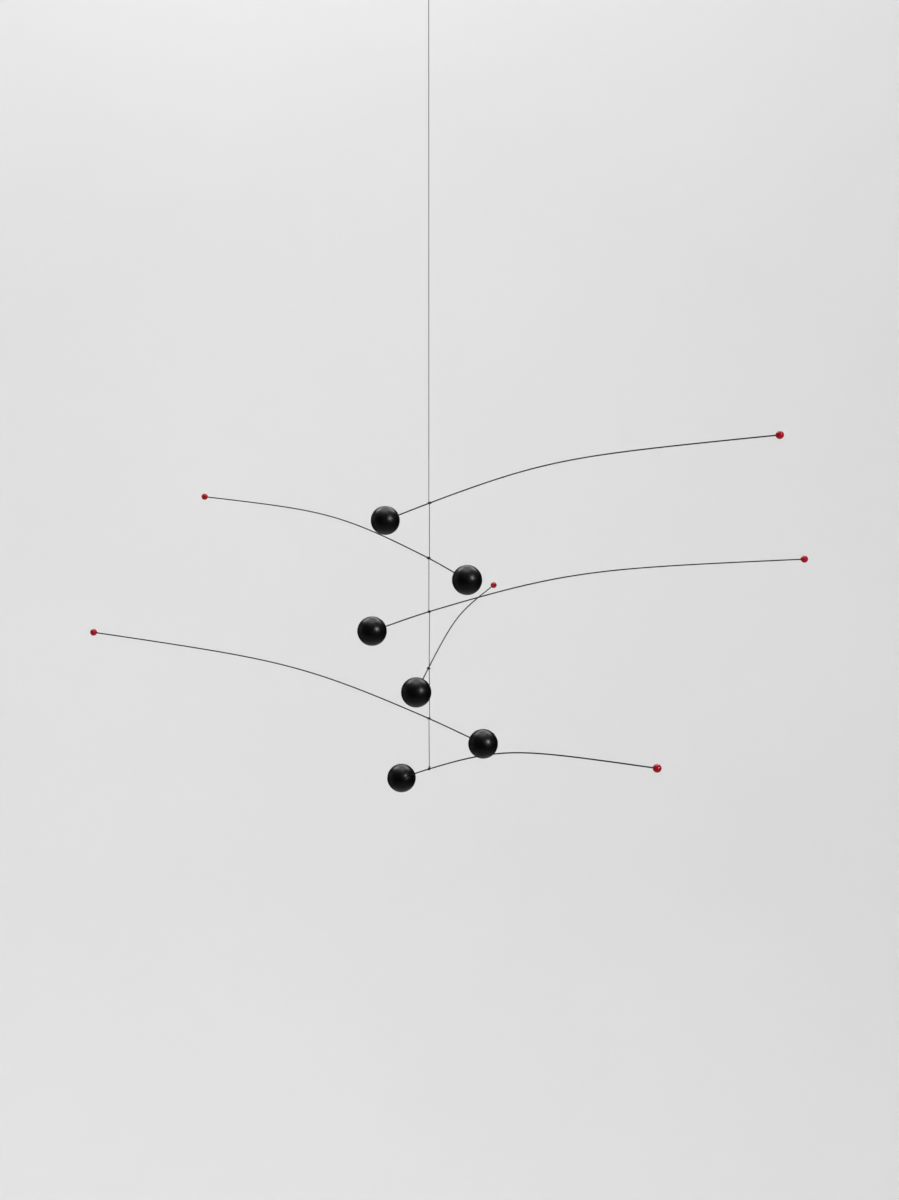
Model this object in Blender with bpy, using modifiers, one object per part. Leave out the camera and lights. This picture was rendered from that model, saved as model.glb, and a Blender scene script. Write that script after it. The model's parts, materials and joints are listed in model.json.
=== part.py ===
"""A hanging mobile: six bent wire arms, each with a black ball at its short end and a red bead at
its long end, tied one under another to a single thread.

Metres, +Z up. The origin is the point where a hook carries the thread's loop, and the thread
hangs straight down the Z axis from there. Each arm is modelled in a frame of its own, an empty
on the thread, with +X towards the bead and +Z up.
"""

import math
from collections import namedtuple

import bpy
from mathutils import Vector

MM = 0.001

# Stock sizes.
BALL_DIAMETER = 25 * MM
BEAD_DIAMETER = 6 * MM
WIRE_DIAMETER = 0.9 * MM
THREAD_DIAMETER = 0.4 * MM
CLEARANCE = 0.15 * MM  # between pieces that touch or are glued

# The bend that the wires share. A wire falls steeply to its ball and runs out flatter to its
# bead, and its slope passes smoothly from one to the other.
BALL_LEG_SLOPE = 18.1  # degrees
BEAD_LEG_SLOPE = 3.9  # degrees
BEND_PLACE = 119 * MM  # from the thread to the middle of the bend, along the wire
BEND_SPREAD = 36.5 * MM
DROOP_LENGTH = 15 * MM  # over which a wire takes up its own droop beside the thread
BEAD_REACH = 327 * MM  # from the thread to the bead's middle, along the wire

# The holes that the wire's ends are glued into.
BALL_HOLE_DEPTH = 8 * MM
BEAD_HOLE_DEPTH = 4 * MM
HOLE_RADIUS = WIRE_DIAMETER / 2 + CLEARANCE
NECK_LENGTH = 0.6 * MM  # lacquer drawn out along the wire where it enters the bead
NECK_WALL = 0.3 * MM
NECK_FOOT_RADIUS = 1.8 * MM

# The arms, from the top down. turn is the way that the bead points, from +X towards +Y, and drop
# the distance below the first arm. tilt lifts the bead's side as a whole. ball_reach is the way
# along the wire from the thread to the ball's middle. droop and lift are how much steeper the
# ball's leg and the bead's leg were bent by hand than the common shape. Angles in degrees.
Arm = namedtuple("Arm", "turn drop tilt ball_reach droop lift")
ARMS = (
    Arm(-35.3, 0.0 * MM, -0.2, 50.0 * MM, 0.5, 0.8),
    Arm(133.6, 46.8 * MM, -0.2, 50.0 * MM, 2.2, -0.3),
    Arm(2.4, 92.6 * MM, -1.0, 51.5 * MM, 2.2, -0.5),
    Arm(78.6, 141.1 * MM, -0.6, 50.5 * MM, 0.0, 1.0),
    Arm(163.0, 184.3 * MM, 3.2, 52.0 * MM, 1.4, -1.0),
    Arm(-59.7, 227.9 * MM, -1.2, 52.0 * MM, 0.5, 0.5),
)

# The thread.
FIRST_ARM_DEPTH = 445 * MM  # from the hook to the first arm
LOOP_LENGTH = 20 * MM
HOOK_RADIUS = 2.5 * MM
STRAND_PITCH = THREAD_DIAMETER + 0.05 * MM  # between neighbouring turns of thread
HITCH_TURNS = 2
HITCH_RADIUS = WIRE_DIAMETER / 2 + CLEARANCE + THREAD_DIAMETER / 2
KNOT_TURNS = 2.5
END_KNOT_HEIGHT = 2.6 * MM  # of the last knot above the last wire's middle

# How finely round things are faceted.
WIRE_SEGMENTS = 24
WIRE_STEP = 1 * MM  # of the sum that follows a wire's slope
BALL_SIDES, BALL_RINGS = 18, 12
BEAD_SIDES, BEAD_RINGS = 12, 8
THREAD_FACETS = 8  # in a full turn of thread
LOOP_FACETS = 10
TUBE_RESOLUTION = 2  # eight sides
MERGE_DISTANCE = 0.01 * MM

UP = Vector((0, 0, 1))
Turned = namedtuple("Turned", "mesh sides")


def clear_scene():
    for old in list(bpy.data.objects):
        bpy.data.objects.remove(old, do_unlink=True)


def material(name, colour, roughness, metallic=0.0):
    made = bpy.data.materials.new(name)
    made.use_nodes = True
    shader = made.node_tree.nodes["Principled BSDF"]
    shader.inputs["Base Color"].default_value = (*colour, 1)
    shader.inputs["Roughness"].default_value = roughness
    shader.inputs["Metallic"].default_value = metallic
    return made


def wire_slope(arm, along):
    """The wire's angle above level, in radians, at a distance along it from the thread."""
    bead_leg = BEAD_LEG_SLOPE + arm.lift
    ball_share = 1 / (1 + math.exp((along - BEND_PLACE) / BEND_SPREAD))
    slope = bead_leg + (BALL_LEG_SLOPE - bead_leg) * ball_share
    slope += arm.droop * min(max(-along / DROOP_LENGTH, 0), 1)
    return math.radians(slope)


def wire_offset(arm):
    """How far the wire's middle passes beside the thread: the last wire hangs in a noose."""
    return 0 if arm is ARMS[-1] else HITCH_RADIUS


def wire_point(arm, along):
    """The wire's middle in the arm's frame: the slope summed up from the thread outwards."""
    steps = max(1, round(abs(along) / WIRE_STEP))
    step = along / steps
    x = z = 0.0
    for i in range(steps):
        slope = wire_slope(arm, (i + 0.5) * step)
        x += step * math.cos(slope)
        z += step * math.sin(slope)
    return Vector((x, wire_offset(arm), z))


def wire_direction(arm, along):
    """The way the wire runs in the arm's frame, towards the bead."""
    slope = wire_slope(arm, along)
    return Vector((math.cos(slope), 0, math.sin(slope)))


def tube(name, points, diameter, look, collection):
    """A round tube along the points, closed at both ends."""
    curve = bpy.data.curves.new(name, "CURVE")
    curve.dimensions = "3D"
    curve.bevel_depth = diameter / 2
    curve.bevel_resolution = TUBE_RESOLUTION
    curve.use_fill_caps = True
    spline = curve.splines.new("POLY")
    spline.points.add(len(points) - 1)
    for spot, place in zip(spline.points, points):
        spot.co = (*place, 1)
    curve.materials.append(look)
    made = bpy.data.objects.new(name, curve)
    collection.objects.link(made)
    return made


def drilled_profile(radius, hole_depth, collar, mouth, rings):
    """Half the section of a ball that is drilled from its top: the hole's floor and wall, the
    collar's points, if any, and the outside from the mouth's radius down to the pole."""
    floor = radius - hole_depth
    rim = math.asin(mouth / radius)
    outside = []
    for i in range(rings):
        angle = rim + (math.pi - rim) * i / rings
        outside.append((radius * math.sin(angle), radius * math.cos(angle)))
    return [(0, floor), (HOLE_RADIUS, floor)] + collar + outside + [(0, -radius)]


def ball_shape(look):
    profile = drilled_profile(BALL_DIAMETER / 2, BALL_HOLE_DEPTH, [], HOLE_RADIUS, BALL_RINGS)
    return profile_mesh("ball", profile, BALL_SIDES, look)


def bead_shape(look):
    """The bead's lacquer is drawn out into a short neck round the wire."""
    radius = BEAD_DIAMETER / 2
    neck_radius = HOLE_RADIUS + NECK_WALL
    neck_top = math.sqrt(radius**2 - NECK_FOOT_RADIUS**2) + NECK_LENGTH
    neck = [(HOLE_RADIUS, neck_top), (neck_radius, neck_top)]
    profile = drilled_profile(radius, BEAD_HOLE_DEPTH, neck, NECK_FOOT_RADIUS, BEAD_RINGS)
    return profile_mesh("bead", profile, BEAD_SIDES, look)


def profile_mesh(name, profile, sides, look):
    """A mesh of (radius, height) points joined in a row, and how many sides it is turned to."""
    mesh = bpy.data.meshes.new(name)
    edges = [(i, i + 1) for i in range(len(profile) - 1)]
    mesh.from_pydata([(x, 0, z) for x, z in profile], edges, [])
    mesh.materials.append(look)
    return Turned(mesh, sides)


def add_turned(name, shape, place, axis, parent, collection):
    """An object turned from a shape's profile, with its drilled side facing along the axis."""
    made = bpy.data.objects.new(name, shape.mesh)
    collection.objects.link(made)
    made.parent = parent
    made.location = place
    made.rotation_mode = "QUATERNION"
    made.rotation_quaternion = axis.to_track_quat("Z", "Y")
    screw = made.modifiers.new("turn", "SCREW")
    screw.steps = screw.render_steps = shape.sides
    screw.use_merge_vertices = True
    screw.merge_threshold = MERGE_DISTANCE
    screw.use_smooth_shade = True
    return made


def add_arm_frame(number, arm, collection):
    """The empty that an arm hangs on: a point on the thread, turned and tilted as the arm is."""
    frame = bpy.data.objects.new(f"arm_{number}", None)
    collection.objects.link(frame)
    frame.empty_display_size = BALL_DIAMETER
    frame.location = (0, 0, -FIRST_ARM_DEPTH - arm.drop)
    frame.rotation_euler = (0, -math.radians(arm.tilt), math.radians(arm.turn))
    return frame


def add_arm(number, arm, ball, bead, wire_look, collection):
    """The wire, glued into its ball and its bead, in the arm's own frame."""
    frame = add_arm_frame(number, arm, collection)
    ball_end = -arm.ball_reach + BALL_DIAMETER / 2 - BALL_HOLE_DEPTH + CLEARANCE
    bead_end = BEAD_REACH - BEAD_DIAMETER / 2 + BEAD_HOLE_DEPTH - CLEARANCE
    step = (bead_end - ball_end) / WIRE_SEGMENTS
    route = [wire_point(arm, ball_end + i * step) for i in range(WIRE_SEGMENTS + 1)]
    wire = tube(f"wire_{number}", route, WIRE_DIAMETER, wire_look, collection)
    wire.parent = frame
    ball_at = wire_point(arm, -arm.ball_reach)
    ball_faces = wire_direction(arm, -arm.ball_reach)
    add_turned(f"ball_{number}", ball, ball_at, ball_faces, frame, collection)
    bead_at = wire_point(arm, BEAD_REACH)
    bead_faces = -wire_direction(arm, BEAD_REACH)
    add_turned(f"bead_{number}", bead, bead_at, bead_faces, frame, collection)
    return frame


def coil(centre, first, second, radius, start, stop, advance):
    """Points of a coil from one angle to another, in radians from first towards second, that
    moves by advance altogether, centred on the middle of that move."""
    steps = math.ceil(abs(stop - start) / math.tau * THREAD_FACETS)
    points = []
    for i in range(steps + 1):
        share = i / steps
        angle = start + (stop - start) * share
        spoke = first * math.cos(angle) + second * math.sin(angle)
        points.append(centre + spoke * radius + advance * (share - 0.5))
    return points


def tangent_angle(distance, radius):
    """The angle at a circle's middle between a point outside and where its tangent touches."""
    return math.acos(radius / distance)


def loop_route():
    """The hanging loop: from the tail, up the turns wound round the standing thread, up the
    right leg, over the hook, and down the left leg to the top of the turns on the axis."""
    wound = KNOT_TURNS * STRAND_PITCH
    turns_middle = Vector((0, 0, -LOOP_LENGTH - wound / 2))
    right = Vector((1, 0, 0))
    back = Vector((0, 1, 0))
    turns = coil(
        turns_middle, right, back, STRAND_PITCH, -KNOT_TURNS * math.tau, 0, UP * wound
    )
    radius = HOOK_RADIUS + THREAD_DIAMETER / 2
    below_hook = LOOP_LENGTH - HOOK_RADIUS
    lean = math.atan2(STRAND_PITCH, below_hook)
    right_leg = lean + tangent_angle(math.hypot(STRAND_PITCH, below_hook), radius)
    left_leg = math.tau - tangent_angle(below_hook, radius)
    over = []
    for i in range(LOOP_FACETS + 1):
        angle = right_leg + (left_leg - right_leg) * i / LOOP_FACETS
        place = Vector((math.sin(angle), 0, -math.cos(angle))) * radius
        over.append(place - UP * HOOK_RADIUS)
    return turns + over + [-UP * LOOP_LENGTH]


def hitch_axes(frame, arm):
    """At the thread, in world axes: the way from thread to wire, down past it, and along it."""
    axes = frame.matrix_world.to_3x3()
    side = axes @ Vector((0, 1, 0))
    along = axes @ wire_direction(arm, 0)
    return side, side.cross(along), along


def hitch_route(frame, arm):
    """Two round turns about a wire. The thread comes down beside the wire and leaves below."""
    side, down, along = hitch_axes(frame, arm)
    centre = frame.matrix_world.translation + side * HITCH_RADIUS
    advance = along * STRAND_PITCH * HITCH_TURNS
    return coil(centre, -side, down, HITCH_RADIUS, 0, HITCH_TURNS * math.tau, advance)


def noose_route(frame, arm):
    """The thread's end: down beside the last wire, once and a half round it, and up to turns
    wound about the standing thread."""
    side, down, along = hitch_axes(frame, arm)
    centre = frame.matrix_world.translation
    knot = centre + UP * END_KNOT_HEIGHT
    wound = KNOT_TURNS * STRAND_PITCH
    lean = math.pi / 2 - tangent_angle(END_KNOT_HEIGHT, HITCH_RADIUS)
    around = coil(
        centre, -side, down, HITCH_RADIUS, -lean, 3 * math.pi + lean, along * STRAND_PITCH
    )
    across = UP.cross(side)
    turns_middle = knot + UP * wound / 2
    turns = coil(
        turns_middle, side, across, STRAND_PITCH, 0, KNOT_TURNS * math.tau, UP * wound
    )
    return [knot] + around + turns


def thread_route(frames):
    route = loop_route()
    for frame, arm in zip(frames[:-1], ARMS[:-1]):
        route += hitch_route(frame, arm)
    return route + noose_route(frames[-1], ARMS[-1])


def build():
    clear_scene()
    collection = bpy.data.collections.new("hanging_mobile")
    bpy.context.scene.collection.children.link(collection)
    ball = ball_shape(material("black lacquered wood", (0.008, 0.008, 0.009), 0.35))
    bead = bead_shape(material("red lacquer", (0.42, 0.004, 0.012), 0.15))
    wire_look = material("blackened spring wire", (0.02, 0.02, 0.022), 0.4, 0.8)
    thread_look = material("black twisted thread", (0.02, 0.02, 0.02), 0.8)
    frames = [
        add_arm(number, arm, ball, bead, wire_look, collection)
        for number, arm in enumerate(ARMS, start=1)
    ]
    bpy.context.view_layer.update()
    tube("thread", thread_route(frames), THREAD_DIAMETER, thread_look, collection)


build()
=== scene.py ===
"""The finish of a hanging mobile: one limp thread with arms of spring wire tied to it, each arm with
a black lacquered ball on its short end and a red lacquered bead on its long end.

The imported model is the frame. Every wire, ball, bead and knot here takes its place from its own
CAD node there. Metres, +Z up, with the hook that carries the thread at the origin.
"""

import json
import math

import bpy
import numpy as np
from bpy.props import FloatProperty, FloatVectorProperty, IntProperty, PointerProperty
from bpy.types import Operator, Panel, PropertyGroup
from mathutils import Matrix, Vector


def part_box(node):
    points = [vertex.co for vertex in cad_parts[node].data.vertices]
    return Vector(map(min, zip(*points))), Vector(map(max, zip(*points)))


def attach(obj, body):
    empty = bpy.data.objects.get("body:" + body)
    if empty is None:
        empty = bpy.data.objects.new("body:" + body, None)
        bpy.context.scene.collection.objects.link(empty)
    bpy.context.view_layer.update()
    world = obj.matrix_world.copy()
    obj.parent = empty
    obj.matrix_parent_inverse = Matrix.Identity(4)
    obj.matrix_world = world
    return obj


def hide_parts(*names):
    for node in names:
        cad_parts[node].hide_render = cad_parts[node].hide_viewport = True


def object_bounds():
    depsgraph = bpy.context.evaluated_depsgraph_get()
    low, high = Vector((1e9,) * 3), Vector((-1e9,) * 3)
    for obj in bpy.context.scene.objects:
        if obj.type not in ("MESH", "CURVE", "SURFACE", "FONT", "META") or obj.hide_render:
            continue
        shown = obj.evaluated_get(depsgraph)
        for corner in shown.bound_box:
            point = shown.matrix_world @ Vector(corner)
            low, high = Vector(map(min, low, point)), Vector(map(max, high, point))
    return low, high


bl_info = {
    "name": "Hanging Mobile",
    "version": (1, 0, 0),
    "blender": (4, 5, 0),
    "location": "3D Viewport > Sidebar > Mobile",
    "description": "Finishes a mobile of spring wire arms with lacquered balls and beads",
    "category": "Add Mesh",
}

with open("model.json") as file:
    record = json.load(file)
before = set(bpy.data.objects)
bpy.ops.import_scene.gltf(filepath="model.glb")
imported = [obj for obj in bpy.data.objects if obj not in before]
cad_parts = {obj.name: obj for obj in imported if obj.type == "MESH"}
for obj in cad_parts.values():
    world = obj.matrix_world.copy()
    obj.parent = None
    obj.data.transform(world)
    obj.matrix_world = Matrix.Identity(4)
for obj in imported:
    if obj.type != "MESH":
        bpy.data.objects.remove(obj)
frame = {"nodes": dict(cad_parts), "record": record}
cad_low, cad_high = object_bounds()

MM = 0.001
UP = np.array([0.0, 0.0, 1.0])
ARM_COUNT = sum(node.startswith("wire_") for node in frame["nodes"])
# The inside of the hanging loop's top.
HOOK_POINT = np.array(frame["record"]["mounts"][0]["pos_m"], float)
MOBILE_MIDDLE = (np.array(cad_low) + np.array(cad_high)) / 2


def linear(colour):
    """An sRGB hex value, such as "1a1a1c", as the linear red, green, blue and alpha of a shader."""
    parts = np.array([int(colour[i : i + 2], 16) for i in (0, 2, 4)]) / 255
    dark, light = parts / 12.92, ((parts + 0.055) / 1.055) ** 2.4
    return (*np.where(parts > 0.04045, light, dark).tolist(), 1.0)


# ---------------------------------------------------------------- sizes and colours


class StageSettings(PropertyGroup):
    """The camera, the room and its lamps."""

    camera_place: FloatVectorProperty(
        name="Camera place",
        description="Where the camera stands",
        size=3,
        subtype="TRANSLATION",
        unit="LENGTH",
        default=(0.0173, -1.51, -0.4220),
    )
    camera_pitch: FloatProperty(
        name="Camera pitch",
        description="How far the camera looks down",
        subtype="ANGLE",
        default=math.radians(4.0),
    )
    camera_lens: FloatProperty(
        name="Lens",
        description="Focal length on a sensor whose long side is 36 mm",
        unit="CAMERA",
        default=53.26,
    )
    room_radius: FloatProperty(
        name="Room radius",
        description="From the thread to the round wall",
        unit="LENGTH",
        default=3.6,
    )
    floor_depth: FloatProperty(
        name="Floor depth",
        description="From the hook down to the floor",
        unit="LENGTH",
        default=2.95,
    )
    wall_height: FloatProperty(
        name="Wall height",
        description="From the floor to the wall's top",
        unit="LENGTH",
        default=5.6,
    )
    sweep_radius: FloatProperty(
        name="Sweep radius",
        description="Of the curve from the floor into the wall",
        unit="LENGTH",
        default=1.4,
    )
    wall_colour: FloatVectorProperty(
        name="Wall colour",
        description="Matt paint of the floor and the wall",
        size=3,
        subtype="COLOR",
        default=linear("e9e9e9")[:3],
    )


class ThreadSettings(PropertyGroup):
    """The thread, its loop and its knots."""

    diameter: FloatProperty(
        name="Thread diameter",
        description="Of the twisted thread",
        unit="LENGTH",
        precision=5,
        default=0.65 * MM,
    )
    turn_pitch: FloatProperty(
        name="Turn pitch",
        description="Between the middles of neighbouring turns",
        unit="LENGTH",
        precision=5,
        default=0.66 * MM,
    )
    lay_length: FloatProperty(
        name="Lay length",
        description="Along the thread, in which each of its plies goes round once",
        unit="LENGTH",
        precision=5,
        default=2.4 * MM,
    )
    plies: IntProperty(
        name="Plies",
        description="Strands that the thread is twisted from",
        default=3,
    )
    loop_length: FloatProperty(
        name="Loop length",
        description="From the hook to the knot of the hanging loop",
        unit="LENGTH",
        default=20.0 * MM,
    )
    hook_radius: FloatProperty(
        name="Hook radius",
        description="Half the thickness of the hook that the loop lies over",
        unit="LENGTH",
        precision=5,
        default=2.5 * MM,
    )
    knot_turns: FloatProperty(
        name="Knot turns",
        description="Turns of the thread's end wound round its standing part, at the loop",
        default=2.5,
    )
    end_knot_turns: FloatProperty(
        name="End knot turns",
        description="Turns of the thread's end wound round its standing part, at the last wire",
        default=1.1,
    )
    end_knot_height: FloatProperty(
        name="End knot height",
        description="From the last wire to the turns of the last knot",
        unit="LENGTH",
        precision=5,
        default=1.45 * MM,
    )
    tail_length: FloatProperty(
        name="Tail",
        description="Of thread left beyond each end knot",
        unit="LENGTH",
        precision=5,
        default=1.2 * MM,
    )
    colour: FloatVectorProperty(
        name="Thread colour",
        description="Of the black polyester",
        size=3,
        subtype="COLOR",
        default=linear("101012")[:3],
    )


class WireSettings(PropertyGroup):
    """The six arms' wire."""

    diameter: FloatProperty(
        name="Wire diameter",
        description="Of the round spring wire",
        unit="LENGTH",
        precision=5,
        default=1.1 * MM,
    )
    colour: FloatVectorProperty(
        name="Wire colour",
        description="Of the satin black enamel",
        size=3,
        subtype="COLOR",
        default=linear("0b0b0c")[:3],
    )


class BallSettings(PropertyGroup):
    """The black balls."""

    diameter: FloatProperty(
        name="Ball diameter",
        description="Of the turned ball in its lacquer",
        unit="LENGTH",
        precision=5,
        default=25.2 * MM,
    )
    hole_depth: FloatProperty(
        name="Hole depth",
        description="Of the hole that the wire is glued into",
        unit="LENGTH",
        default=8.1 * MM,
    )
    rim_rounding: FloatProperty(
        name="Rim rounding",
        description="Radius of the lacquered edge round the hole",
        unit="LENGTH",
        precision=5,
        default=0.45 * MM,
    )
    colour: FloatVectorProperty(
        name="Ball colour",
        description="Of the satin black lacquer",
        size=3,
        subtype="COLOR",
        default=linear("050506")[:3],
    )


class BeadSettings(PropertyGroup):
    """The red beads."""

    diameter: FloatProperty(
        name="Bead diameter",
        description="Of the round bead in its lacquer",
        unit="LENGTH",
        precision=5,
        default=6.2 * MM,
    )
    hole_depth: FloatProperty(
        name="Hole depth",
        description="Of the hole that the wire is glued into",
        unit="LENGTH",
        default=4.1 * MM,
    )
    neck_radius: FloatProperty(
        name="Neck radius",
        description="Of the lacquer drawn out round the wire",
        unit="LENGTH",
        precision=5,
        default=0.78 * MM,
    )
    neck_foot: FloatProperty(
        name="Neck foot",
        description="Radius of the circle where the neck rises from the bead",
        unit="LENGTH",
        precision=5,
        default=1.8 * MM,
    )
    neck_reach: FloatProperty(
        name="Neck reach",
        description="From the bead's middle to the neck's lip",
        unit="LENGTH",
        precision=5,
        default=3.6 * MM,
    )
    colour: FloatVectorProperty(
        name="Bead colour",
        description="Of the gloss red lacquer",
        size=3,
        subtype="COLOR",
        default=linear("b0061f")[:3],
    )


class MobileSettings(PropertyGroup):
    """Everything about the mobile that a user would change."""

    stage: PointerProperty(type=StageSettings)
    thread: PointerProperty(type=ThreadSettings)
    wire: PointerProperty(type=WireSettings)
    ball: PointerProperty(type=BallSettings)
    bead: PointerProperty(type=BeadSettings)


# ---------------------------------------------------------------- lines


def unit(vectors):
    """The vectors at length one."""
    return vectors / np.linalg.norm(vectors, axis=-1, keepdims=True)


def dot(vectors, others):
    """The dot product of each vector with its counterpart."""
    return (vectors * others).sum(axis=-1)


def along_line(line):
    """The distance of each point of a line from its start, measured along it."""
    steps = np.linalg.norm(np.diff(line, axis=0), axis=1)
    return np.concatenate([[0.0], np.cumsum(steps)])


def evenly_spaced(line, spacing):
    """The same line with its points at equal distances of about the spacing."""
    along = along_line(line)
    at = np.linspace(0, along[-1], math.ceil(along[-1] / spacing) + 1)
    return np.stack([np.interp(at, along, axis) for axis in line.T], axis=1)


def smooth_line(points, spacing):
    """A line through the points. Between two of them it is the cubic that leaves each along half
    the step from the point before it to the point after it."""
    slopes = np.gradient(points, axis=0)
    span = np.linalg.norm(np.diff(points, axis=0), axis=1).max()
    t = np.linspace(0, 1, math.ceil(span / spacing), endpoint=False)[:, None, None]
    start, stop = points[:-1], points[1:]
    line = (
        start * (2 * t**3 - 3 * t**2 + 1)
        + stop * (3 * t**2 - 2 * t**3)
        + slopes[:-1] * (t**3 - 2 * t**2 + t)
        + slopes[1:] * (t**3 - t**2)
    )
    return np.concatenate([line.swapaxes(0, 1).reshape(-1, 3), points[-1:]])


def rounded(line, reach):
    """The line with its corners rounded: each point moves to the mean of the points from reach
    before it to reach after it. The points are evenly spaced, and the ends stay."""
    count = max(1, round(reach / np.linalg.norm(line[1] - line[0])))
    padded = np.concatenate(
        [2 * line[0] - line[count:0:-1], line, 2 * line[-1] - line[-2 : -count - 2 : -1]]
    )
    total = np.cumsum(np.concatenate([np.zeros((1, 3)), padded]), axis=0)
    width = 2 * count + 1
    return (total[width:] - total[:-width]) / width


def directions_across(line):
    """Two unit vectors across the line at each of its points, carried along without twisting. A
    first pair is square to the line and to whichever of X, Y and Z the line runs least along.
    From each point to the next, the first vector v is carried by the smallest turn from direction
    a to direction b, which makes it v - (v.b) (a + b) / (1 + a.b), and its angle from the new
    pair is measured. At each point, the pair is turned by the sum of the angles before it."""
    ahead = unit(np.gradient(line, axis=0))
    first = unit(np.cross(ahead, np.eye(3)[abs(ahead).argmin(axis=1)]))
    second = np.cross(ahead, first)
    a, b, v = ahead[:-1], ahead[1:], first[:-1]
    carried = v - (dot(v, b) / (1 + dot(a, b)))[:, None] * (a + b)
    angles = np.arctan2(dot(carried, second[1:]), dot(carried, first[1:]))
    turn = np.concatenate([[0.0], np.cumsum(angles)])[:, None]
    across = first * np.cos(turn) + second * np.sin(turn)
    return across, np.cross(ahead, across)


# ---------------------------------------------------------------- surfaces

# The attribute that every pattern reads: a point's place in the piece's own straightened shape,
# with Z along a wire or a thread, or along the hole of a ball or a bead.
OWN_PLACE = "own_place"
# The map that goes once round a piece and from one end of it to the other.
WRAP_MAP = "OFBake"
# Faces that meet at a sharper angle keep the edge between them.
SHARP_ANGLE = math.radians(40)


def carried_section(line, section):
    """A tube's rings. The section has a radius and an angle for each side, the same all along or
    in a row of its own for each point, and is laid out on the two directions across the line."""
    across, over = directions_across(line)
    radius, angle = np.broadcast_arrays(*section)
    offset = across[:, None] * (radius * np.cos(angle))[..., None]
    offset = offset + over[:, None] * (radius * np.sin(angle))[..., None]
    return line[:, None] + offset


def round_section(radius, sides):
    """The radius and the angle of each side of a round tube."""
    angle = np.arange(sides) * math.tau / sides
    return np.full(sides, radius)[None], angle[None]


def turned_rings(profile, sides):
    """A turned shape's rings about the Z axis. The profile is a row of (radius, height) points
    that runs up the hole and then down the outside, and each point is swept once round."""
    angle = np.arange(sides) * math.tau / sides
    radius, height = profile.T[:, :, None]
    return np.stack(
        [radius * np.cos(angle), -radius * np.sin(angle), height + 0 * angle], axis=-1
    )


def straight_rings(along, radius, angle):
    """A tube's rings in its own straightened shape: the section on X and Y, the way along on Z."""
    radius, angle, height = np.broadcast_arrays(radius, angle, along[:, None])
    return np.stack([radius * np.cos(angle), radius * np.sin(angle), height], axis=-1)


def placed(rings, centre, axis):
    """Rings about the Z axis moved so that the axis points along another and runs through the
    centre: the other two directions are level and at right angles to that one."""
    side = unit(np.cross(UP, axis))
    return centre + rings @ np.stack([side, np.cross(axis, side), axis])


def faces_between(count, sides):
    """The faces between neighbouring rings: two neighbours in a ring and the two beyond them."""
    first = (np.arange(count - 1) * sides)[:, None]
    side = np.arange(sides)
    after = (side + 1) % sides
    corners = [first + side, first + after, first + sides + after, first + sides + side]
    return np.stack(corners, axis=-1).reshape(-1, 4)


def end_faces(count, sides):
    """Two fans that close the first and the last ring, each round a point of its own that comes
    after the rings' points."""
    side = np.arange(sides)
    after = (side + 1) % sides
    last = (count - 1) * sides
    first_middle, last_middle = np.full(sides, count * sides), np.full(sides, count * sides + 1)
    first_fan = np.stack([first_middle, after, side], axis=-1)
    last_fan = np.stack([last_middle, last + side, last + after], axis=-1)
    return np.concatenate([first_fan, last_fan])


def with_end_points(rings):
    """The rings' points, then the middle of the first ring and the middle of the last."""
    return np.concatenate([rings.reshape(-1, 3), [rings[0].mean(0), rings[-1].mean(0)]])


def wrap_places(count, sides):
    """Each face corner's place on the wrap map, in the order of the faces: across is the share
    of the way round, and up is the share of the way from the first ring to the last."""
    height = np.linspace(0, 1, count)
    low, high = height[:-1, None], height[1:, None]
    left, right = np.arange(sides) / sides, (np.arange(sides) + 1) / sides
    corners = [(left, low), (right, low), (right, high), (left, high)]
    quads = np.stack(
        [np.stack(np.broadcast_arrays(*corner), axis=-1) for corner in corners], axis=2
    )
    middle, bottom, top = (left + right) / 2, 0 * left, 0 * left + 1
    first_fan = np.stack([[middle, bottom], [right, bottom], [left, bottom]])
    last_fan = np.stack([[middle, top], [left, top], [right, top]])
    fans = [fan.transpose(2, 0, 1).reshape(-1, 2) for fan in (first_fan, last_fan)]
    return np.concatenate([quads.reshape(-1, 2), *fans])


def add_piece(name, rings, own_rings, material, node):
    """A closed surface through rings of points, in place of a CAD node. own_rings has the same
    points in the piece's own straightened shape."""
    count, sides = rings.shape[:2]
    faces = faces_between(count, sides).tolist() + end_faces(count, sides).tolist()
    mesh = bpy.data.meshes.new(name)
    mesh.from_pydata(with_end_points(rings).tolist(), [], faces)
    places = mesh.attributes.new(OWN_PLACE, "FLOAT_VECTOR", "POINT")
    own = with_end_points(own_rings).astype(np.float32)
    places.data.foreach_set("vector", own.ravel())
    wrap = wrap_places(count, sides).astype(np.float32)
    mesh.uv_layers.new(name=WRAP_MAP).uv.foreach_set("vector", wrap.ravel())
    mesh.materials.append(material)
    mesh.shade_smooth()
    mesh.set_sharp_from_angle(angle=SHARP_ANGLE)
    piece = bpy.data.objects.new(name, mesh)
    bpy.context.scene.collection.objects.link(piece)
    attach(piece, "root")
    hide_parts(node)
    return piece


# ---------------------------------------------------------------- what the frame says

WIRE_SPACING = 1.2 * MM
# A CAD wire's rings of corners are further apart than this, and a ring is far shorter.
RING_GAP = 5.0 * MM
FEWEST_RINGS = 3


def corners_of(node):
    """The corners of a CAD node's mesh, each once, where its triangles meet to a micrometre."""
    vertices = frame["nodes"][node].data.vertices
    places = np.empty(len(vertices) * 3)
    vertices.foreach_get("co", places)
    places = places.reshape(-1, 3)
    _, first_of_each = np.unique(places.round(6), axis=0, return_index=True)
    return places[first_of_each]


def middle_of(node):
    """The middle of a CAD node's box."""
    return np.mean(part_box(node), axis=0)


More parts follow.
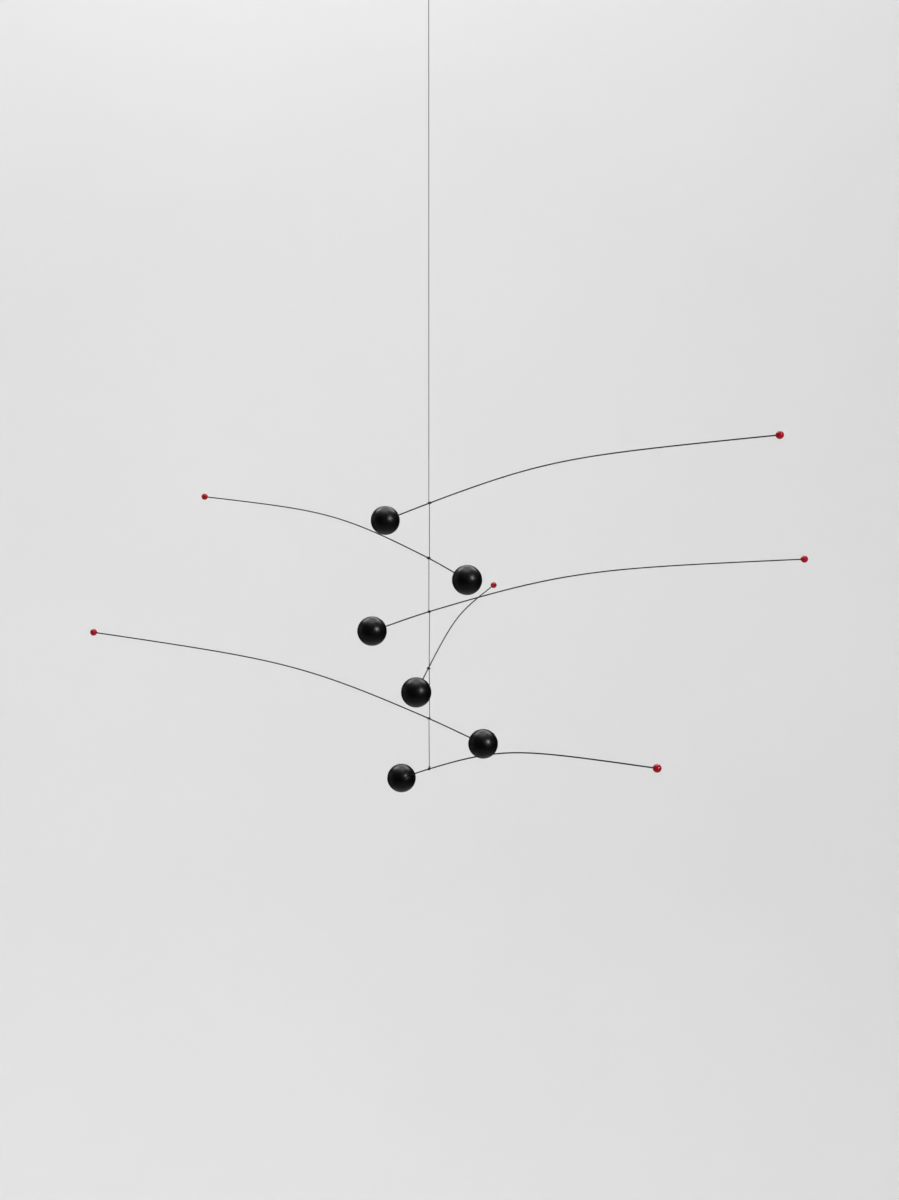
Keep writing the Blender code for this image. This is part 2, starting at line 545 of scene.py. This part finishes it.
def wire_middle(number):
    """The line down the middle of a wire, from its ball's end to its bead's. The CAD wire is a
    tube of few flat sides, so its corners, sorted along it, come in rings with wide gaps between
    them. The line runs through the mean of each ring's corners."""
    ball, bead = middle_of(f"ball_{number}"), middle_of(f"bead_{number}")
    corners = corners_of(f"wire_{number}")
    along = corners @ unit(bead - ball)
    corners, along = corners[np.argsort(along)], np.sort(along)
    starts = np.flatnonzero(np.diff(along, prepend=-np.inf) > RING_GAP)
    if len(starts) < FEWEST_RINGS:
        raise RuntimeError(f"wire_{number} isn't a bent tube")
    counts = np.diff(starts, append=len(corners))
    middles = np.add.reduceat(corners, starts, axis=0) / counts[:, None]
    return smooth_line(middles, WIRE_SPACING)


class Tie:
    """Where a wire is tied to the thread. along points along the wire to its bead, side is level
    and across the wire, down is square to both, wire is the wire's point beside the thread, and
    reach is how far to the side of the thread it lies."""

    def __init__(self, number):
        line = wire_middle(number)
        nearest = np.argmin(np.linalg.norm(line[:, :2] - HOOK_POINT[:2], axis=1))
        self.along = unit(line[nearest + 1] - line[nearest - 1])
        self.side = unit(np.cross(UP, self.along))
        self.down = np.cross(self.side, self.along)
        to_thread, level = HOOK_POINT - line[nearest], self.along[:2]
        self.wire = line[nearest] + self.along * (to_thread[:2] @ level / (level @ level))
        self.reach = -to_thread @ self.side


# ---------------------------------------------------------------- materials


def add_node(tree, kind, inputs=(), **settings):
    """A node with its settings. inputs gives each named socket a value, or the output that
    feeds it."""
    made = tree.nodes.new(kind)
    for name, value in settings.items():
        setattr(made, name, value)
    for name, value in dict(inputs).items():
        if isinstance(value, bpy.types.NodeSocket):
            tree.links.new(value, made.inputs[name])
        else:
            made.inputs[name].default_value = value
    return made


def new_material(name):
    """The node tree of a new material, its shader, and the material itself."""
    made = bpy.data.materials.new(name)
    made.use_nodes = True
    return made.node_tree, made.node_tree.nodes["Principled BSDF"], made


def pattern(tree, place, cell, **inputs):
    """Noise whose cells measure cell = (x, y, z) in metres in the piece's own shape."""
    scaled = add_node(
        tree,
        "ShaderNodeMapping",
        {"Vector": place, "Scale": [1 / size for size in cell]},
        vector_type="POINT",
    )
    return add_node(
        tree, "ShaderNodeTexNoise", {"Vector": scaled.outputs[0], "Scale": 1.0, **inputs}
    ).outputs["Fac"]


def between(tree, factor, low, high):
    """A number that goes from low to high as the factor goes from 0.3 to 0.7, which is where
    nearly all of a noise's values lie."""
    return add_node(
        tree,
        "ShaderNodeMapRange",
        {"Value": factor, "From Min": 0.3, "From Max": 0.7, "To Min": low, "To Max": high},
    ).outputs["Result"]


def shades(tree, factor, dark, light):
    """A colour that goes from one sRGB hex value to another over a noise's values."""
    ramp = add_node(tree, "ShaderNodeValToRGB", {"Fac": factor})
    ramp.color_ramp.elements[0].position, ramp.color_ramp.elements[1].position = 0.3, 0.7
    ramp.color_ramp.elements[0].color, ramp.color_ramp.elements[1].color = dark, light
    return ramp.outputs["Color"]


def relief(tree, height, depth, below=None):
    """A bump of that depth, in metres, over another bump if one is given."""
    inputs = {"Height": height, "Distance": depth, "Strength": 1.0}
    if below is not None:
        inputs["Normal"] = below
    return add_node(tree, "ShaderNodeBump", inputs).outputs["Normal"]


def own_place(tree):
    """The output that gives a point's place in the piece's own straightened shape."""
    return add_node(tree, "ShaderNodeAttribute", attribute_name=OWN_PLACE).outputs["Vector"]


def scaled_colour(colour, share):
    """A share of a linear colour, with its alpha."""
    return (*[channel * share for channel in colour], 1.0)


def black_lacquer(colour):
    """Satin black nitrocellulose lacquer sprayed on a turned birch ball. It is so black that the
    eye sees only what it mirrors, a little softened, with the grain just felt in the film."""
    tree, shader, made = new_material("satin_black_lacquer_on_birch")
    place = own_place(tree)
    # A sprayed film settles in swells 3 mm apart.
    film = pattern(tree, place, (3.2 * MM, 3.2 * MM, 3.2 * MM), Detail=3.0)
    # The wood's pores are under 0.1 mm wide, so they are drawn as bands 0.5 mm wide and 6 mm long.
    grain = pattern(tree, place, (0.5 * MM, 6.0 * MM, 0.5 * MM), Detail=4.0, Roughness=0.6)
    # The spray's own orange peel, 0.7 mm from hill to hill.
    peel = pattern(tree, place, (0.7 * MM, 0.7 * MM, 0.7 * MM), Detail=1.0)
    tree.links.new(
        shades(tree, film, scaled_colour(colour, 0.75), scaled_colour(colour, 1.3)),
        shader.inputs["Base Color"],
    )
    tree.links.new(between(tree, film, 0.31, 0.39), shader.inputs["Roughness"])
    bumps = relief(tree, film, 0.080 * MM)
    bumps = relief(tree, grain, 0.016 * MM, bumps)
    bumps = relief(tree, peel, 0.005 * MM, bumps)
    tree.links.new(bumps, shader.inputs["Normal"])
    shader.inputs["IOR"].default_value = 1.5
    return made


def red_lacquer(colour):
    """Gloss red lacquer, dipped. The film is even and all but mirror smooth, so the eye sees deep
    red with small sharp lights in it."""
    tree, shader, made = new_material("gloss_red_lacquer_dipped")
    place = own_place(tree)
    # A dipped film draws together in swells a quarter of the bead across.
    film = pattern(tree, place, (1.4 * MM, 1.4 * MM, 1.4 * MM), Detail=2.0)
    tree.links.new(
        shades(tree, film, scaled_colour(colour, 0.9), scaled_colour(colour, 1.05)),
        shader.inputs["Base Color"],
    )
    tree.links.new(between(tree, film, 0.12, 0.18), shader.inputs["Roughness"])
    tree.links.new(relief(tree, film, 0.006 * MM), shader.inputs["Normal"])
    shader.inputs["IOR"].default_value = 1.58
    return made


def black_painted_steel(colour):
    """Spring steel wire in a thin coat of satin black enamel, sprayed. It mirrors soft light as a
    dim streak along the wire, with long low runs in the film and the die's lines just felt."""
    tree, shader, made = new_material("satin_black_enamel_on_spring_steel")
    place = own_place(tree)
    # The sprayed film runs a little along the wire, in streaks as wide as it and 6 mm long.
    runs = pattern(tree, place, (0.9 * MM, 0.9 * MM, 6.0 * MM), Detail=3.0)
    # The die's scratches are 0.02 mm wide, drawn 0.09 mm wide so that they show.
    die_lines = pattern(tree, place, (0.09 * MM, 0.09 * MM, 20.0 * MM), Detail=2.0)
    tree.links.new(
        shades(tree, runs, scaled_colour(colour, 0.7), scaled_colour(colour, 1.4)),
        shader.inputs["Base Color"],
    )
    tree.links.new(between(tree, runs, 0.30, 0.42), shader.inputs["Roughness"])
    bumps = relief(tree, runs, 0.012 * MM)
    bumps = relief(tree, die_lines, 0.003 * MM, bumps)
    tree.links.new(bumps, shader.inputs["Normal"])
    shader.inputs["IOR"].default_value = 1.5
    return made


def black_thread(colour):
    """Twisted polyester twine, black, waxed. Each ply is a bundle of fine fibres that catch the
    light as short streaks along it."""
    tree, shader, made = new_material("twisted_black_polyester")
    place = own_place(tree)
    # Fibres are 0.015 mm thick, drawn twice that, and are seen for 0.9 mm before they dip under.
    fibres = pattern(tree, place, (0.03 * MM, 0.03 * MM, 0.9 * MM), Detail=2.0)
    tree.links.new(
        shades(tree, fibres, scaled_colour(colour, 0.6), scaled_colour(colour, 1.7)),
        shader.inputs["Base Color"],
    )
    tree.links.new(between(tree, fibres, 0.55, 0.8), shader.inputs["Roughness"])
    tree.links.new(relief(tree, fibres, 0.01 * MM), shader.inputs["Normal"])
    shader.inputs["Sheen Weight"].default_value = 0.1
    return made


def matt_paint(colour):
    """Matt emulsion rolled on plaster: even, with a faint cloudiness."""
    tree, shader, made = new_material("matt_wall_paint")
    place = add_node(tree, "ShaderNodeTexCoord").outputs["Object"]
    # Each load of the roller covers a patch 0.9 m across.
    cloud = pattern(tree, place, (0.9, 0.9, 0.9), Detail=2.0)
    tree.links.new(
        shades(tree, cloud, scaled_colour(colour, 0.985), scaled_colour(colour, 1.0)),
        shader.inputs["Base Color"],
    )
    shader.inputs["Roughness"].default_value = 0.95
    shader.inputs["Specular IOR Level"].default_value = 0.1
    return made


# ---------------------------------------------------------------- the thread's route

TURN_POINTS = 48
THREAD_SPACING = 0.13 * MM
# How far to each side of a corner the thread's stiffness rounds it.
CORNER_REACH = 0.2 * MM
KNOT_SLACK = 0.02 * MM
# Half the angle in which the clove hitch's strand crosses, half the angle in which it stands out
# over the strands below it, both in radians, and how far it stands out, in diameters.
CROSSING_ANGLE, BULGE_ANGLE, CROSSING_BULGE = 0.8, 1.4, 1.15
# How many pitches the last wire's turns step along it.
LAST_HITCH_STEP = 1.7
# How far each tail droops for each step outwards.
LOOP_TAIL_DROOP, END_TAIL_DROOP = 0.4, 0.3
# From the thread's middle to a ply's, as a share of the thread's diameter.
PLY_OFFSET = 0.2
PLY_SIDES = 4


def round_turns(centre, first, second, radius, angles, advance):
    """Points round a centre. At each angle the radius is laid out on the first direction times
    its cosine and the second times its sine, and the advance there is added."""
    spoke = np.cos(angles)[:, None] * first + np.sin(angles)[:, None] * second
    return centre + spoke * np.reshape(radius, (-1, 1)) + advance


def eased(share):
    """0 to 1 with a soft start and a soft stop, and level beyond them."""
    share = np.clip(share, 0, 1)
    return share * share * (3 - 2 * share)


def tangent_angle(distance, radius):
    """The angle at a circle's middle between a point outside and where its tangent touches."""
    return math.acos(radius / distance)


def wound_turns(base, first, second, pitch, turns):
    """The thread's end wound round its standing part, rising one pitch a turn from the base."""
    angles = np.linspace(0, turns * math.tau, math.ceil(turns * TURN_POINTS))
    rise = UP * (angles / math.tau * pitch)[:, None]
    return round_turns(base, first, second, pitch, angles, rise)


def loop_route(thread):
    """The hanging loop, from its tail: up the turns wound round the standing part, up the right
    leg, over the hook and down the left leg into the turns."""
    pitch, radius = thread.turn_pitch, thread.hook_radius + thread.diameter / 2
    right, back = np.array([1.0, 0.0, 0.0]), np.array([0.0, 1.0, 0.0])
    knot = HOOK_POINT - UP * thread.loop_length
    base = knot - UP * pitch * thread.knot_turns
    turns = wound_turns(base, -right, back, pitch, thread.knot_turns)
    tail = turns[0] - (back + LOOP_TAIL_DROOP * UP) * thread.tail_length
    below_hook = thread.loop_length - thread.hook_radius
    lean = math.atan2(pitch, below_hook)
    right_leg = lean + tangent_angle(math.hypot(pitch, below_hook), radius)
    left_leg = math.tau - tangent_angle(below_hook, radius)
    angles = np.linspace(right_leg, left_leg, TURN_POINTS)
    over = round_turns(HOOK_POINT - UP * thread.hook_radius, -UP, right, radius, angles, 0)
    return np.concatenate([[tail], turns, over, [knot]])


def clove_hitch(tie, thread, gap):
    """Two turns round the wire whose crossing strand lies over both ends of the thread. With x
    the angle from the crossing's middle, the strand moves out along the wire to one and a half
    pitches by x = -90 degrees, crosses to the other side as the sine of x, and moves in again.
    It stands out from the wire by the bulge times the squared cosine of x about the crossing."""
    pitch, radius = thread.turn_pitch, gap + thread.diameter / 2
    angles = np.linspace(0, 2 * math.tau, 2 * TURN_POINTS)
    x = angles - math.tau
    crossing = 1.5 * pitch * np.sin(math.pi / 2 * np.clip(x / CROSSING_ANGLE, -1, 1))
    outward = pitch * (0.5 + eased((math.tau - abs(x)) / (1.5 * math.pi)))
    along = np.where(abs(x) < math.pi / 2, crossing, np.sign(x) * outward)
    bulge = CROSSING_BULGE * np.cos(math.pi / 2 * np.clip(x / BULGE_ANGLE, -1, 1)) ** 2
    peel = (tie.reach - radius) * (1 - eased((math.tau - abs(x)) / (math.pi / 2)))
    return round_turns(
        tie.wire, -tie.side, tie.down, radius + bulge * thread.diameter + peel, angles,
        tie.along * along[:, None],
    )


def last_hitch(tie, thread, gap):
    """The thread's end: one and a half turns round the last wire that step towards the ball, a
    half hitch round the standing part close above it, and a short tail towards the ball."""
    pitch, radius = thread.turn_pitch, gap + thread.diameter / 2
    knot = tie.wire + UP * thread.end_knot_height
    lean = math.pi / 2 - tangent_angle(thread.end_knot_height, radius)
    angles = np.linspace(-lean, 3 * math.pi + lean, 2 * TURN_POINTS)
    steps = -tie.along * (LAST_HITCH_STEP * pitch * np.linspace(0, 1, len(angles)))[:, None]
    around = round_turns(tie.wire, -tie.side, tie.down, radius, angles, steps)
    turns = wound_turns(knot, tie.side, np.cross(UP, tie.side), pitch, thread.end_knot_turns)
    tail = turns[-1] - (tie.along + END_TAIL_DROOP * UP) * thread.tail_length
    return np.concatenate([[knot], around, turns, [tail]])


def thread_route(thread, wire):
    """The whole thread from the tail of its loop to the tail of its last knot."""
    gap = wire.diameter / 2 + KNOT_SLACK
    ties = [Tie(number) for number in range(1, ARM_COUNT + 1)]
    hitches = [clove_hitch(tie, thread, gap) for tie in ties[:-1]]
    route = np.concatenate([loop_route(thread), *hitches, last_hitch(ties[-1], thread, gap)])
    line = rounded(evenly_spaced(route, THREAD_SPACING), CORNER_REACH)
    return evenly_spaced(line, THREAD_SPACING)


def twisted_section(along, thread):
    """The outline of plies twisted together. Seen from the thread's middle, each ply is a circle
    set off from it, so at an angle a from the ply's own direction the outline is at
    offset cos a + root(ply² - offset² sin² a). The outline turns once in each lay length."""
    offset, ply = PLY_OFFSET * thread.diameter, (0.5 - PLY_OFFSET) * thread.diameter
    sides = thread.plies * PLY_SIDES
    angle = np.arange(sides) * math.tau / sides
    ply_angle = math.tau / thread.plies
    a = (angle + ply_angle / 2) % ply_angle - ply_angle / 2
    radius = offset * np.cos(a) + np.sqrt(ply**2 - (offset * np.sin(a)) ** 2)
    return radius[None], angle + math.tau * along[:, None] / thread.lay_length


# ---------------------------------------------------------------- the stage

ROOM_SIDES, ROOM_FLOOR_RINGS, ROOM_BEND_RINGS, ROOM_WALL_RINGS = 96, 8, 24, 10
# The floor's innermost ring, round the small face that closes it.
ROOM_MIDDLE = 0.02
# name, azimuth and elevation in degrees and distance in metres from the mobile, size, glow
LAMPS = (
    ("lamp_overhead", 0, 89.9, 2.4, (2.0, 2.0), 2.1),
    ("lamp_back_left", -47, 48, 2.4, (1.1, 1.25), 4.9),
    ("lamp_back_right", 45, 48, 2.4, (1.1, 1.25), 4.2),
    ("lamp_back", 0, 40, 2.4, (1.7, 1.0), 2.85),
    ("lamp_left", -75, 8, 2.6, (1.8, 1.4), 0.28),
    ("lamp_low_left", -85, -25, 2.6, (2.0, 1.35), 0.16),
    ("lamp_front_right", 138, 15, 2.6, (0.4, 0.4), 63.0),
    ("lamp_floor_glow", 0, -65, 2.3, (2.8, 2.8), 0.23),
)
# Lamps that light the wall alone: name, place, aim, size, glow
WALL_LAMPS = (
    ("wall_lamp_left", (-2.2, 1.8, 1.6), (-1.6, 3.3, 0.2), (1.0, 0.7), 2.9),
    ("wall_lamp_middle", (-0.5, 2.2, 2.3), (-0.4, 3.6, 0.9), (1.4, 0.6), 7.2),
    ("wall_lamp_right", (0.3, 1.6, 2.2), (0.3, 3.6, 1.0), (1.8, 0.7), 4.9),
    ("wall_lamp_low", (-0.6, 0.8, -1.6), (-0.6, 3.6, -1.2), (2.0, 0.8), 3.5),
)
# How bright the studio is beyond the lamps, by the height of the direction: 0 is straight down,
# 0.5 is level and 1 is straight up.
SKY_GLOW = (
    (0.0, 0.17), (0.13, 0.16), (0.3, 0.012), (0.75, 0.012), (0.9, 0.14), (1.0, 0.35),
)


def add_lamp(name, place, aim, size, glow):
    """A soft lamp that the camera doesn't see. glow is how bright its face is, where a white wall
    in full light is about one, and power is glow times pi times the area of the face."""
    lamp = bpy.data.lights.new(name, "AREA")
    lamp.shape = "ELLIPSE"
    lamp.size, lamp.size_y = size
    lamp.energy = glow * math.pi * (math.pi / 4 * size[0] * size[1])
    made = bpy.data.objects.new(name, lamp)
    bpy.context.scene.collection.objects.link(made)
    made.location = place
    made.rotation_euler = (Vector(aim) - Vector(place)).to_track_quat("-Z", "Y").to_euler()
    made.visible_camera = False
    return made


def place_round_mobile(azimuth, elevation, distance):
    """A place seen from the mobile's middle. The azimuth is from straight away from the camera
    towards the right."""
    turn, lift = math.radians(azimuth), math.radians(elevation)
    way = [
        math.sin(turn) * math.cos(lift), math.cos(turn) * math.cos(lift), math.sin(lift),
    ]
    return MOBILE_MIDDLE + distance * np.array(way)


class MOBILE_OT_set_stage(Operator):
    """Stand the camera, and build the pale round room with its soft light"""

    bl_idname = "mobile.set_stage"
    bl_label = "Set the Stage"

    def execute(self, context):
        stage = context.scene.mobile.stage
        self.stand_camera(context, stage)
        self.build_room(context, stage)
        self.light_room(context)
        return {"FINISHED"}

    def stand_camera(self, context, stage):
        camera = bpy.data.objects.new("camera", bpy.data.cameras.new("camera"))
        context.scene.collection.objects.link(camera)
        camera.location = stage.camera_place
        camera.rotation_euler = (math.pi / 2 - stage.camera_pitch, 0, 0)
        camera.data.lens = stage.camera_lens
        context.scene.camera = camera

    def build_room(self, context, stage):
        """Floor and wall in one. A row of (distance, height) points runs out along the floor, up
        a quarter circle and up the wall, and each is swept once round. Its faces look inwards."""
        bend = np.linspace(0, math.pi / 2, ROOM_BEND_RINGS)
        radius, sweep = stage.room_radius, stage.sweep_radius
        floor = np.linspace(ROOM_MIDDLE, radius - sweep, ROOM_FLOOR_RINGS)[:-1]
        wall = np.linspace(sweep, stage.wall_height, ROOM_WALL_RINGS)[1:]
        distance = np.concatenate(
            [floor, radius - sweep * (1 - np.sin(bend)), np.full(len(wall), radius)]
        )
        height = np.concatenate([0 * floor, sweep * (1 - np.cos(bend)), wall])
        profile = np.stack([distance, height - stage.floor_depth], axis=1)
        rings = turned_rings(profile, ROOM_SIDES)
        middle, quads = list(range(ROOM_SIDES)), faces_between(len(rings), ROOM_SIDES)
        mesh = bpy.data.meshes.new("room")
        mesh.from_pydata(rings.reshape(-1, 3).tolist(), [], [middle] + quads[:, ::-1].tolist())
        mesh.materials.append(matt_paint(stage.wall_colour))
        mesh.shade_smooth()
        room = bpy.data.objects.new("room", mesh)
        context.scene.collection.objects.link(room)
        room.visible_glossy = False

    def light_room(self, context):
        context.scene.view_settings.view_transform = "Standard"
        context.scene.world = self.studio_world()
        for name, azimuth, elevation, distance, size, glow in LAMPS:
            place = place_round_mobile(azimuth, elevation, distance)
            add_lamp(name, place, MOBILE_MIDDLE, size, glow)
        for lamp in WALL_LAMPS:
            add_lamp(*lamp).visible_glossy = False

    def studio_world(self):
        """A world whose brightness depends only on how high one looks."""
        world = bpy.data.worlds.new("studio")
        world.use_nodes = True
        tree = world.node_tree
        way = add_node(tree, "ShaderNodeTexCoord").outputs["Generated"]
        height = add_node(tree, "ShaderNodeSeparateXYZ", {"Vector": way}).outputs["Z"]
        share = add_node(
            tree, "ShaderNodeMapRange", {"Value": height, "From Min": -1.0, "From Max": 1.0}
        ).outputs["Result"]
        ramp = add_node(tree, "ShaderNodeValToRGB", {"Fac": share})
        elements = ramp.color_ramp.elements
        elements[0].position, elements[1].position = SKY_GLOW[0][0], SKY_GLOW[-1][0]
        for position, _ in SKY_GLOW[1:-1]:
            elements.new(position)
        for element, (_, level) in zip(elements, SKY_GLOW):
            element.color = (level, level, level, 1.0)
        background = tree.nodes["Background"]
        tree.links.new(ramp.outputs["Color"], background.inputs["Color"])
        background.inputs["Strength"].default_value = 1.0
        return world


# ---------------------------------------------------------------- the thread and the wires

WIRE_SIDES = 20
# Each wire reads a stretch of the pattern of its own, this far from the last one's.
WIRE_PATTERN_STEP = 1.0


class MOBILE_OT_tie_thread(Operator):
    """Tie the thread: its hanging loop, a clove hitch on each wire and a half hitch on the last"""

    bl_idname = "mobile.tie_thread"
    bl_label = "Tie the Thread"

    def execute(self, context):
        settings = context.scene.mobile
        thread = settings.thread
        line = thread_route(thread, settings.wire)
        along = along_line(line)
        radius, angle = twisted_section(along, thread)
        rings = carried_section(line, (radius, angle))
        own_rings = straight_rings(along, radius, angle[:1])
        piece = add_piece(
            "twisted_thread", rings, own_rings, black_thread(thread.colour),
            "thread",
        )
        return {"FINISHED"}


class MOBILE_OT_bend_wires(Operator):
    """Bend each arm's spring wire along its CAD wire"""

    bl_idname = "mobile.bend_wires"
    bl_label = "Bend the Wires"

    def execute(self, context):
        wire = context.scene.mobile.wire
        enamel = black_painted_steel(wire.colour)
        radius, angle = round_section(wire.diameter / 2, WIRE_SIDES)
        for number in range(1, ARM_COUNT + 1):
            line = wire_middle(number)
            own_along = along_line(line) + number * WIRE_PATTERN_STEP
            own_rings = straight_rings(own_along, radius, angle)
            rings = carried_section(line, (radius, angle))
            add_piece(
                f"spring_wire_{number}", rings, own_rings, enamel,
                f"wire_{number}",
            )
        return {"FINISHED"}


# ---------------------------------------------------------------- the balls and the beads

RIM_RINGS, HOLE_RINGS, NECK_RINGS, BALL_RINGS, BEAD_RINGS = 10, 6, 12, 72, 40
BALL_SIDES, BEAD_SIDES = 112, 64
# The last ring is this angle short of the pole, and the hole's first ring is this far from the
# middle of its floor.
POLE_ANGLE = 0.004
FLOOR_MIDDLE = 0.02 * MM
HOLE_SLACK = 0.05 * MM
GLUE_DEPTH = 0.15 * MM
# Each ball or bead reads a part of the pattern of its own, this far from the last one's.
PATTERN_STEP = 0.1


def drilled_place(line, end, settings):
    """The middle of the ball or bead that a wire's end is glued into, and the way its hole faces.
    The wire stops short of the hole's floor by the glue."""
    if end == "ball":
        tip, inward = line[0], unit(line[1] - line[0])
    else:
        tip, inward = line[-1], unit(line[-2] - line[-1])
    depth = settings.diameter / 2 - settings.hole_depth + GLUE_DEPTH
    return tip - inward * depth, inward


def hole_wall(radius, floor, top, count):
    """From the floor's middle out to the wall and up it."""
    heights = np.linspace(floor, top, count)
    return np.concatenate(
        [[[FLOOR_MIDDLE, floor]], np.stack([np.full(count, radius), heights], axis=1)]
    )


def ball_profile(ball, hole):
    """A ball drilled from the top. Its rim is an arc of the rounding's radius that touches both
    the hole's wall and the ball, so its middle is a rounding outside the wall and a rounding
    inside the ball's surface."""
    radius, rounding = ball.diameter / 2, ball.rim_rounding
    rim = hole + rounding
    rim_height = math.sqrt((radius - rounding) ** 2 - rim**2)
    a = np.linspace(math.pi, math.atan2(rim_height, rim), RIM_RINGS)
    edge = np.stack([rim + rounding * np.cos(a), rim_height + rounding * np.sin(a)], axis=1)
    b = np.linspace(math.atan2(rim, rim_height), math.pi - POLE_ANGLE, BALL_RINGS)[1:]
    outside = radius * np.stack([np.sin(b), np.cos(b)], axis=1)
    wall = hole_wall(hole, radius - ball.hole_depth, rim_height, HOLE_RINGS)
    return np.concatenate([wall[:-1], edge, outside])


def bead_profile(bead, hole):
    """A bead with its lacquer drawn out round the wire: a lip as a half circle from the hole's
    wall to the neck, a curve that leaves down the neck and meets the bead along its own slope,
    and the bead's circle."""
    radius, foot = bead.diameter / 2, bead.neck_foot
    lip = (bead.neck_radius - hole) / 2
    a = np.linspace(math.pi, 0, RIM_RINGS)
    top = bead.neck_reach - lip
    edge = np.stack([hole + lip + lip * np.cos(a), top + lip * np.sin(a)], axis=1)
    foot_height = math.sqrt(radius**2 - foot**2)
    bend = np.array([bead.neck_radius, foot_height + (foot - bead.neck_radius) * foot / foot_height])
    t = np.linspace(0, 1, NECK_RINGS)[1:, None]
    neck = (
        edge[-1] * (1 - t) ** 2 + 2 * bend * t * (1 - t) + np.array([foot, foot_height]) * t**2
    )
    b = np.linspace(math.asin(foot / radius), math.pi - POLE_ANGLE, BEAD_RINGS)[1:]
    outside = radius * np.stack([np.sin(b), np.cos(b)], axis=1)
    wall = hole_wall(hole, radius - bead.hole_depth, top, HOLE_RINGS)
    return np.concatenate([wall[:-1], edge, neck, outside])


class MOBILE_OT_turn_balls(Operator):
    """Turn and lacquer the black balls"""

    bl_idname = "mobile.turn_balls"
    bl_label = "Turn the Balls"

    def execute(self, context):
        settings = context.scene.mobile
        lacquer = black_lacquer(settings.ball.colour)
        profile = ball_profile(settings.ball, settings.wire.diameter / 2 + HOLE_SLACK)
        rings = turned_rings(profile, BALL_SIDES)
        for number in range(1, ARM_COUNT + 1):
            centre, axis = drilled_place(wire_middle(number), "ball", settings.ball)
            add_piece(
                f"lacquered_ball_{number}", placed(rings, centre, axis),
                rings + number * PATTERN_STEP, lacquer, f"ball_{number}",
            )
        return {"FINISHED"}


class MOBILE_OT_dip_beads(Operator):
    """Dip the red beads, with the lacquer drawn out round each wire"""

    bl_idname = "mobile.dip_beads"
    bl_label = "Dip the Beads"

    def execute(self, context):
        settings = context.scene.mobile
        lacquer = red_lacquer(settings.bead.colour)
        profile = bead_profile(settings.bead, settings.wire.diameter / 2 + HOLE_SLACK)
        rings = turned_rings(profile, BEAD_SIDES)
        for number in range(1, ARM_COUNT + 1):
            centre, axis = drilled_place(wire_middle(number), "bead", settings.bead)
            add_piece(
                f"dipped_bead_{number}", placed(rings, centre, axis),
                rings + number * PATTERN_STEP, lacquer, f"bead_{number}",
            )
        return {"FINISHED"}


# ---------------------------------------------------------------- the add-on

OPERATORS = (
    MOBILE_OT_set_stage,
    MOBILE_OT_tie_thread,
    MOBILE_OT_bend_wires,
    MOBILE_OT_turn_balls,
    MOBILE_OT_dip_beads,
)


class MOBILE_PT_steps(Panel):
    """The steps that finish the mobile, in order"""

    bl_label = "Hanging Mobile"
    bl_space_type = "VIEW_3D"
    bl_region_type = "UI"
    bl_category = "Mobile"

    def draw(self, context):
        for step in OPERATORS:
            self.layout.operator(step.bl_idname)


CLASSES = (
    StageSettings,
    ThreadSettings,
    WireSettings,
    BallSettings,
    BeadSettings,
    MobileSettings,
    *OPERATORS,
    MOBILE_PT_steps,
)


def register():
    for cls in CLASSES:
        bpy.utils.register_class(cls)
    bpy.types.Scene.mobile = PointerProperty(type=MobileSettings)


def unregister():
    del bpy.types.Scene.mobile
    for cls in reversed(CLASSES):
        bpy.utils.unregister_class(cls)


def main():
    """Take the steps in order."""
    register()
    bpy.ops.mobile.set_stage()
    bpy.ops.mobile.tie_thread()
    bpy.ops.mobile.bend_wires()
    bpy.ops.mobile.turn_balls()
    bpy.ops.mobile.dip_beads()


if __name__ == "__main__":
    main()
